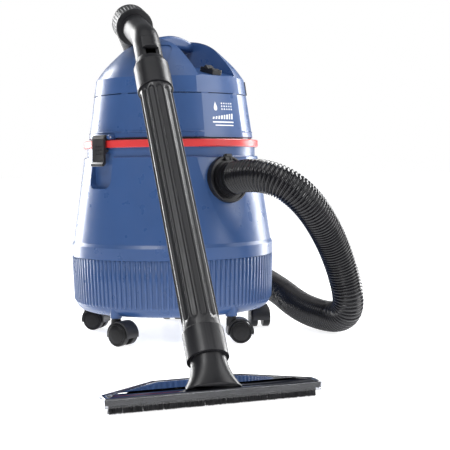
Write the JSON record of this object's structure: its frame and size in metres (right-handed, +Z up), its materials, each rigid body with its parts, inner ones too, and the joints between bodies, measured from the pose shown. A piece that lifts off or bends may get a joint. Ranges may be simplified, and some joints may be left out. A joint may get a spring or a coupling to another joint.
{
  "type": "wet and dry canister vacuum cleaner",
  "caption": "Round wet and dry canister vacuum on swivel castors, with a ribbed tank, latched motor head, corrugated hose, fluted wand and wide floor tool.",
  "frame": {"origin": "on the tank's axis at floor level, under the middle of the tank", "axes": "+Z up; -Y is the front, where the hose port and castor 1 are, and the head with its switch and latches sits 4.3 degrees round from it; +X is on the right of somebody who faces the front"},
  "size_m": [0.7599, 0.8591, 0.6115],
  "materials": {
    "blue_plastic": "satin moulded",
    "red_plastic": "satin moulded",
    "black_plastic": "fine satin moulded",
    "tool_gloss": "polished",
    "clear_plastic": "clear, polished",
    "hose_black": "extruded, glossy",
    "bristle_black": "nylon bristle",
    "castor_black": "moulded",
    "wheel_black": "moulded",
    "steel": "bright",
    "aluminium": "pressed sheet",
    "filter_foam": "open foam",
    "rubber_seal": "moulded",
    "float_white": "hollow ball"
  },
  "bodies": {
    "machine": {"tank_shell": "blue_plastic", "tank_rim_ring": "red_plastic", "port_flange": "black_plastic", "hose_connector": "black_plastic", "inlet_deflector": "black_plastic", "castor_sockets": "black_plastic", "head_shell": "blue_plastic", "motor_deck": "black_plastic", "top_cover": "blue_plastic", "carry_handle": "blue_plastic", "switch_bezel": "black_plastic", "exhaust_grille": "black_plastic", "cable_gland": "black_plastic", "motor_gasket": "rubber_seal", "fan_case": "black_plastic", "motor_stator": "steel", "motor_end_frame": "steel", "motor_bearings": "steel", "filter_cage": "black_plastic", "filter_sleeve": "filter_foam", "latch_pins": "steel", "head_screws": "steel", "wand_tube": "black_plastic", "wand_collar": "black_plastic", "hand_grip": "black_plastic", "hose_cuff": "black_plastic", "tool_body": "tool_gloss", "tool_rail": "clear_plastic", "tool_neck": "black_plastic", "tool_sole": "black_plastic", "tool_bristles": "bristle_black", "hose": "hose_black"},
    "castor_1": {"castor_hood_1": "castor_black", "castor_axle_1": "steel"},
    "wheel_1a": {"castor_wheel_1a": "wheel_black"},
    "wheel_1b": {"castor_wheel_1b": "wheel_black"},
    "castor_2": {"castor_hood_2": "castor_black", "castor_axle_2": "steel"},
    "wheel_2a": {"castor_wheel_2a": "wheel_black"},
    "wheel_2b": {"castor_wheel_2b": "wheel_black"},
    "castor_3": {"castor_hood_3": "castor_black", "castor_axle_3": "steel"},
    "wheel_3a": {"castor_wheel_3a": "wheel_black"},
    "wheel_3b": {"castor_wheel_3b": "wheel_black"},
    "castor_4": {"castor_hood_4": "castor_black", "castor_axle_4": "steel"},
    "wheel_4a": {"castor_wheel_4a": "wheel_black"},
    "wheel_4b": {"castor_wheel_4b": "wheel_black"},
    "castor_5": {"castor_hood_5": "castor_black", "castor_axle_5": "steel"},
    "wheel_5a": {"castor_wheel_5a": "wheel_black"},
    "wheel_5b": {"castor_wheel_5b": "wheel_black"},
    "latch_left": {"latch_left": "black_plastic"},
    "latch_right": {"latch_right": "black_plastic"},
    "switch_rocker": {"switch_rocker": "black_plastic"},
    "air_regulator": {"air_regulator": "black_plastic"},
    "port_release_tab": {"port_release_tab": "black_plastic"},
    "motor_rotor": {"motor_rotor": "steel", "fan_impeller": "aluminium"},
    "float_ball": {"float_ball": "float_white"}
  },
  "joints": [
    {"name": "castor_swivel_1", "type": "hinge", "parent": "machine", "child": "castor_1", "pos_m": [0, -0.174, 0.05], "axis": [0, 0, 1], "continuous": true},
    {"name": "wheel_spin_1a", "type": "hinge", "parent": "castor_1", "child": "wheel_1a", "pos_m": [0.01272, -0.18195, 0.02], "axis": [0.5299, 0.848, 0], "continuous": true},
    {"name": "wheel_spin_1b", "type": "hinge", "parent": "castor_1", "child": "wheel_1b", "pos_m": [0.01272, -0.18195, 0.02], "axis": [0.5299, 0.848, 0], "continuous": true},
    {"name": "castor_swivel_2", "type": "hinge", "parent": "machine", "child": "castor_2", "pos_m": [0.16548, -0.05377, 0.05], "axis": [0, 0, 1], "continuous": true},
    {"name": "wheel_spin_2a", "type": "hinge", "parent": "castor_2", "child": "wheel_2a", "pos_m": [0.15798, -0.06676, 0.02], "axis": [0.866, -0.5, 0], "continuous": true},
    {"name": "wheel_spin_2b", "type": "hinge", "parent": "castor_2", "child": "wheel_2b", "pos_m": [0.15798, -0.06676, 0.02], "axis": [0.866, -0.5, 0], "continuous": true},
    {"name": "castor_swivel_3", "type": "hinge", "parent": "machine", "child": "castor_3", "pos_m": [0.10228, 0.14077, 0.05], "axis": [0, 0, 1], "continuous": true},
    {"name": "wheel_spin_3a", "type": "hinge", "parent": "castor_3", "child": "wheel_3a", "pos_m": [0.09148, 0.13035, 0.02], "axis": [0.6947, -0.7193, 0], "continuous": true},
    {"name": "wheel_spin_3b", "type": "hinge", "parent": "castor_3", "child": "wheel_3b", "pos_m": [0.09148, 0.13035, 0.02], "axis": [0.6947, -0.7193, 0], "continuous": true},
    {"name": "castor_swivel_4", "type": "hinge", "parent": "machine", "child": "castor_4", "pos_m": [-0.10228, 0.14077, 0.05], "axis": [0, 0, 1], "continuous": true},
    {"name": "wheel_spin_4a", "type": "hinge", "parent": "castor_4", "child": "wheel_4a", "pos_m": [-0.09433, 0.12805, 0.02], "axis": [0.848, 0.5299, 0], "continuous": true},
    {"name": "wheel_spin_4b", "type": "hinge", "parent": "castor_4", "child": "wheel_4b", "pos_m": [-0.09433, 0.12805, 0.02], "axis": [0.848, 0.5299, 0], "continuous": true},
    {"name": "castor_swivel_5", "type": "hinge", "parent": "machine", "child": "castor_5", "pos_m": [-0.16548, -0.05377, 0.05], "axis": [0, 0, 1], "continuous": true},
    {"name": "wheel_spin_5a", "type": "hinge", "parent": "castor_5", "child": "wheel_5a", "pos_m": [-0.1611, -0.06811, 0.02], "axis": [0.9563, 0.2924, 0], "continuous": true},
    {"name": "wheel_spin_5b", "type": "hinge", "parent": "castor_5", "child": "wheel_5b", "pos_m": [-0.1611, -0.06811, 0.02], "axis": [0.9563, 0.2924, 0], "continuous": true},
    {"name": "latch_left_swing", "type": "hinge", "parent": "machine", "child": "latch_left", "pos_m": [-0.16104, -0.01211, 0.368], "axis": [-0.075, 0.9972, 0], "range_deg": [0, 70]},
    {"name": "latch_right_swing", "type": "hinge", "parent": "machine", "child": "latch_right", "pos_m": [0.16104, 0.01211, 0.368], "axis": [0.075, -0.9972, 0], "range_deg": [0, 70]},
    {"name": "switch_rock", "type": "hinge", "parent": "machine", "child": "switch_rocker", "pos_m": [0.00853, -0.11346, 0.48504], "axis": [0.9972, 0.075, 0], "range_deg": [-17, 0]},
    {"name": "regulator_slide", "type": "slide", "parent": "machine", "child": "air_regulator", "axis": [-0.2542, -0.5846, -0.7705], "range_m": [0, 0.017]},
    {"name": "release_press", "type": "slide", "parent": "machine", "child": "port_release_tab", "axis": [0, 0.989, -0.1478], "range_m": [0, 0.0022], "stiffness_N_per_m": 600},
    {"name": "motor_spin", "type": "hinge", "parent": "machine", "child": "motor_rotor", "pos_m": [0, 0, 0.42], "axis": [0, 0, 1], "continuous": true},
    {"name": "float_rise", "type": "slide", "parent": "machine", "child": "float_ball", "axis": [0, 0, 1], "range_m": [0, 0.081]}
  ]
}
